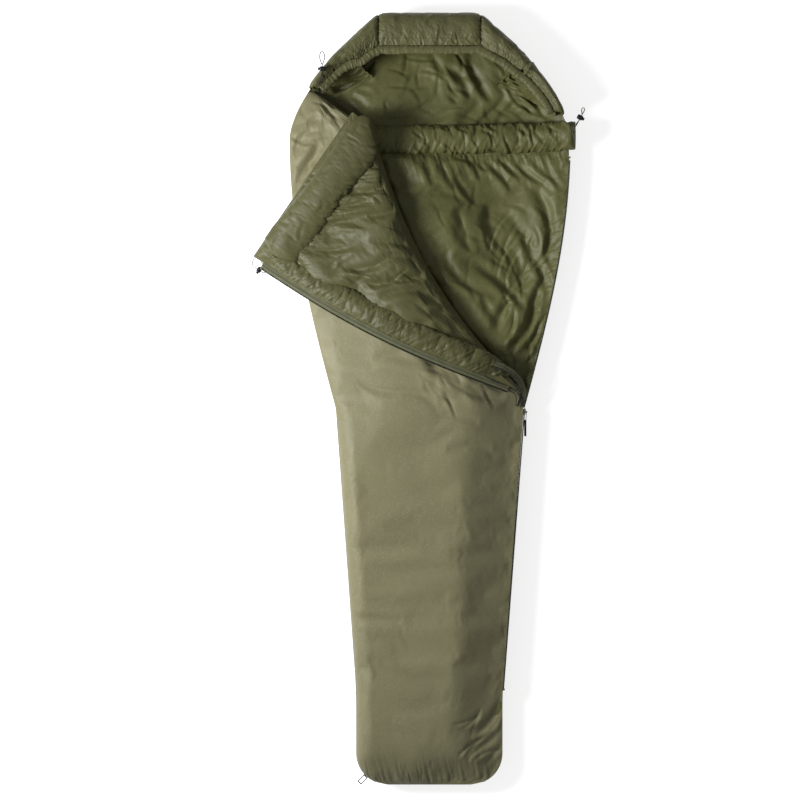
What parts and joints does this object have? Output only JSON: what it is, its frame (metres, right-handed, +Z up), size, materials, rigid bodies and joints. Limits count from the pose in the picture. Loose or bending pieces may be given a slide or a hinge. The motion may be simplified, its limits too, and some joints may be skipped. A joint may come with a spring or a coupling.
{
  "type": "mummy sleeping bag",
  "caption": "Mummy sleeping bag lying flat, hooded, with draw cords, a neck baffle and a side zip, its padded top corner folded open on a hinge line.",
  "frame": {"origin": "on the underside's flat resting face, on the centre line at half the bag's length", "axes": "+Y along the bag to the head, +Z up off the surface it lies on, +X to the zip's side"},
  "size_m": [0.9546, 2.206, 0.168],
  "materials": {
    "shell": "matt woven nylon",
    "lining": "soft taffeta",
    "wadding": "fibre wadding",
    "tape": "woven tape",
    "cord": "braided",
    "coil": "satin",
    "lock": "satin",
    "metal": "satin"
  },
  "bodies": {
    "bag": {"under_shell": "shell", "under_fill_foot": "wadding", "under_fill_middle": "wadding", "under_fill_crown": "wadding", "under_fill_left_rim_legs": "wadding", "under_fill_left_rim_chest": "wadding", "under_fill_left_rim_head": "wadding", "under_fill_left_side_legs": "wadding", "under_fill_left_side_chest": "wadding", "under_fill_left_side_head": "wadding", "under_fill_right_side_legs": "wadding", "under_fill_right_side_chest": "wadding", "under_fill_right_side_head": "wadding", "under_fill_right_rim_legs": "wadding", "under_fill_right_rim_chest": "wadding", "under_fill_right_rim_head": "wadding", "under_lining": "lining", "top_shell": "shell", "top_fill": "wadding", "top_lining": "lining", "hood_shell_left": "shell", "hood_shell_centre": "shell", "hood_shell_right": "shell", "hood_fill": "wadding", "hood_lining": "lining", "hood_rim_casing_left": "shell", "hood_rim_casing_centre": "shell", "hood_rim_casing_right": "shell", "neck_baffle": "lining", "zip_tape_under": "tape", "zip_tape_top": "tape", "zip_tape_side": "tape", "zip_coil_under": "coil", "zip_coil_top": "coil", "zip_coil_side": "coil", "zip_stops": "metal", "hood_lock_body": "lock", "neck_lock_body": "lock", "hood_cord": "cord", "neck_cord": "cord", "foot_hang_loop": "tape", "hood_lock_spring": "metal", "neck_lock_spring": "metal"},
    "flap": {"flap_shell": "shell", "flap_fill": "wadding", "flap_lining": "lining", "flap_collar": "lining", "draught_tube": "lining", "zip_tape_flap": "tape", "zip_coil_flap": "coil", "zip_top_stop_flap": "metal", "flap_lock_body": "lock", "flap_cord": "cord", "flap_lock_spring": "metal"},
    "slider": {"zip_slider": "metal"},
    "pull": {"zip_pull_tab": "metal", "zip_pull_lace": "cord"},
    "hood_lock_button": {"hood_lock_plunger": "lock"},
    "neck_lock_button": {"neck_lock_plunger": "lock"},
    "flap_lock_button": {"flap_lock_plunger": "lock"}
  },
  "joints": [
    {"name": "flap_fold", "type": "hinge", "parent": "bag", "child": "flap", "pos_m": [-0.164, 0.77, 0.114], "axis": [-0.4967, 0.8673, 0.033], "range_deg": [0, 165]},
    {"name": "zip_slide", "type": "slide", "parent": "bag", "child": "slider", "axis": [-0.0722, -0.9974, 0], "range_m": [0, 0.786]},
    {"name": "pull_swing", "type": "hinge", "parent": "slider", "child": "pull", "pos_m": [0.27859, -0.03426, 0.0622], "axis": [0, 0, 1], "range_deg": [0, 170]},
    {"name": "hood_lock_button_press", "type": "slide", "parent": "bag", "child": "hood_lock_button", "axis": [1, 0, 0], "range_m": [0, 0.0035], "stiffness_N_per_m": 400, "springref_m": -0.003, "deforming": ["hood_lock_spring"]},
    {"name": "neck_lock_button_press", "type": "slide", "parent": "bag", "child": "neck_lock_button", "axis": [-0.8829, 0.4695, 0], "range_m": [0, 0.0035], "stiffness_N_per_m": 400, "springref_m": -0.003, "deforming": ["neck_lock_spring"]},
    {"name": "flap_lock_button_press", "type": "slide", "parent": "flap", "child": "flap_lock_button", "axis": [0.5736, 0.8192, 0], "range_m": [0, 0.0035], "stiffness_N_per_m": 400, "springref_m": -0.003, "deforming": ["flap_lock_spring"]}
  ]
}
